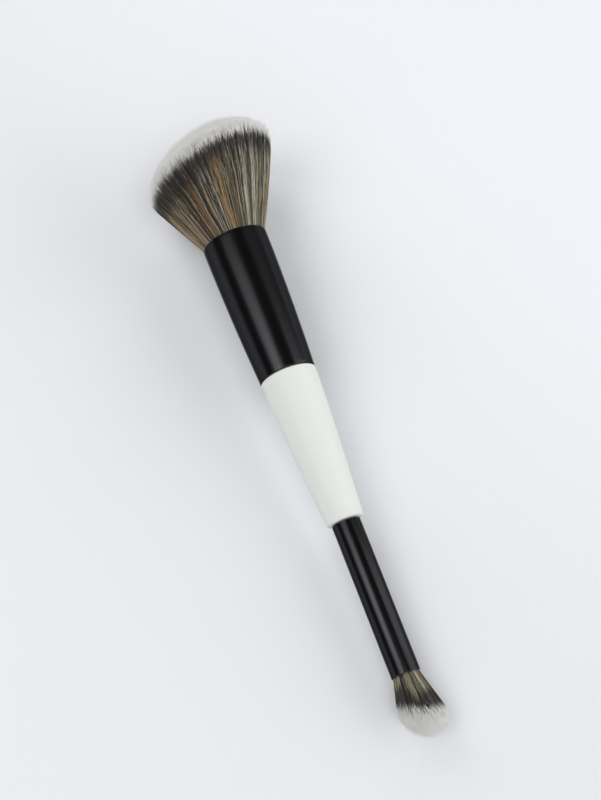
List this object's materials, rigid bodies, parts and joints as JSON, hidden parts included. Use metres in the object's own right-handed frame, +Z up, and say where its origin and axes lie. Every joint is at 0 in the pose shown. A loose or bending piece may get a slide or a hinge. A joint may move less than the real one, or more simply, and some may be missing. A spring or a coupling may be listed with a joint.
{
  "type": "double-ended makeup brush",
  "caption": "Double-ended makeup brush: a large domed face head and a small domed eye head in black ferrules on a tapering white handle, lying on its heads.",
  "frame": {"origin": "on the ground under the middle of the brush's bounds, as it lies on its two bristle heads", "axes": "+X along the brush from the face head towards the eye head, +Z up from the ground; the axis of the handle falls 4.7 degrees towards the eye head"},
  "size_m": [0.1788, 0.0384, 0.0378],
  "materials": {
    "white_lacquer": "satin",
    "black_lacquered_aluminium": "satin",
    "bristle_fibre": "matte",
    "waxed_thread": "matte",
    "amber_resin": "gloss",
    "clear_cement": "gloss"
  },
  "bodies": {
    "root": {"handle": "white_lacquer", "face_ferrule": "black_lacquered_aluminium", "eye_ferrule": "black_lacquered_aluminium", "face_bristles": "bristle_fibre", "eye_bristles": "bristle_fibre", "face_binding": "waxed_thread", "eye_binding": "waxed_thread", "face_resin": "amber_resin", "eye_resin": "amber_resin", "face_cement": "clear_cement", "eye_cement": "clear_cement"}
  },
  "joints": []
}
